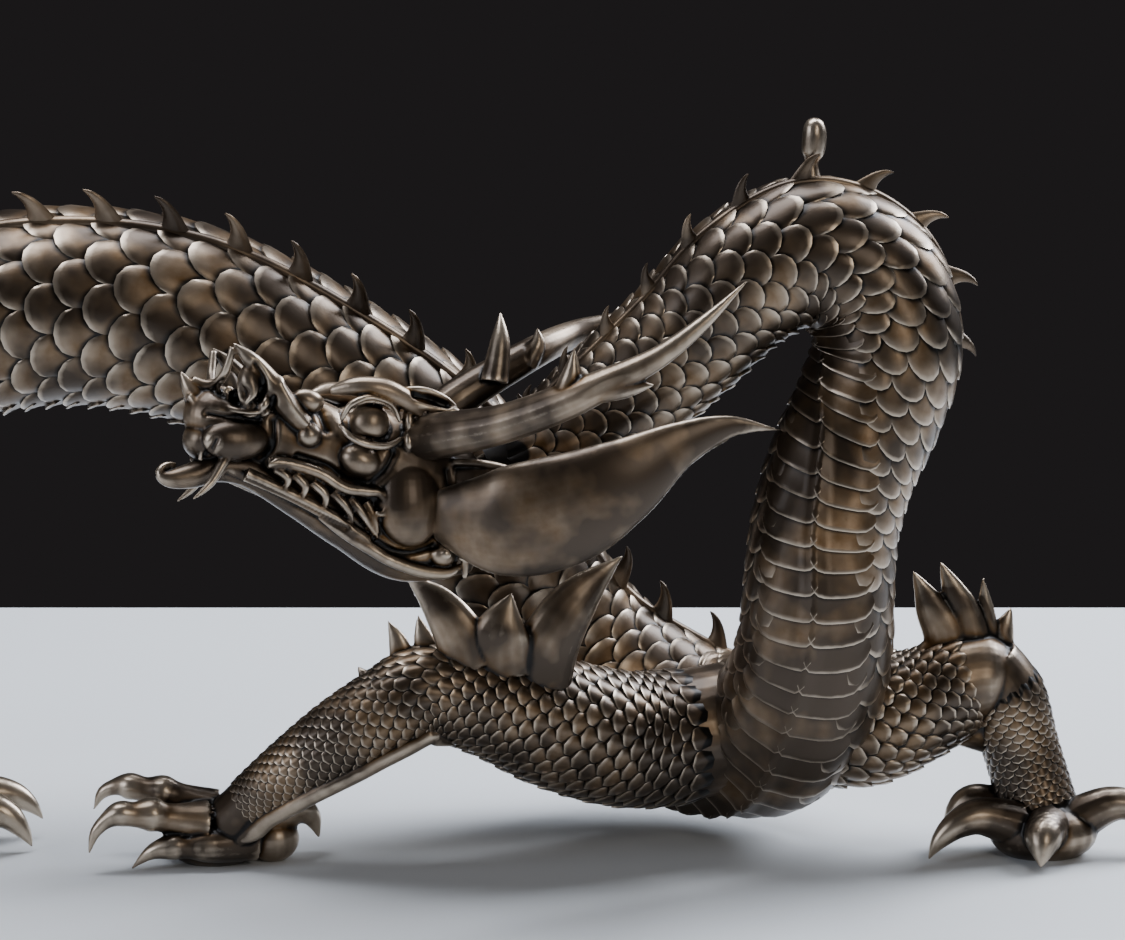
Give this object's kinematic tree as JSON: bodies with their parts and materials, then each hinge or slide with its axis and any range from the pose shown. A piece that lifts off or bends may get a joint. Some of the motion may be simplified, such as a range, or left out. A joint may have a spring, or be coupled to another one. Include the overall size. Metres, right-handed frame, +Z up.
{
  "type": "dragon sculpture",
  "caption": "Cast bronze dragon ornament standing on its paws, with an arched scaly back, looped neck, horned head and flowing mane.",
  "frame": {"origin": "middle of the dragon in plan, on the level of the paws' soles", "axes": "+X along the dragon from its tail to its right fore paw, +Y from the side that shows the head to the far side, +Z up"},
  "size_m": [0.6683, 0.2166, 0.275],
  "materials": {
    "bronze": "dark brown patina with satin sheen, rubbed brighter on high edges and darker in the grooves"
  },
  "bodies": {
    "root": {"dragon": "bronze"}
  },
  "joints": []
}
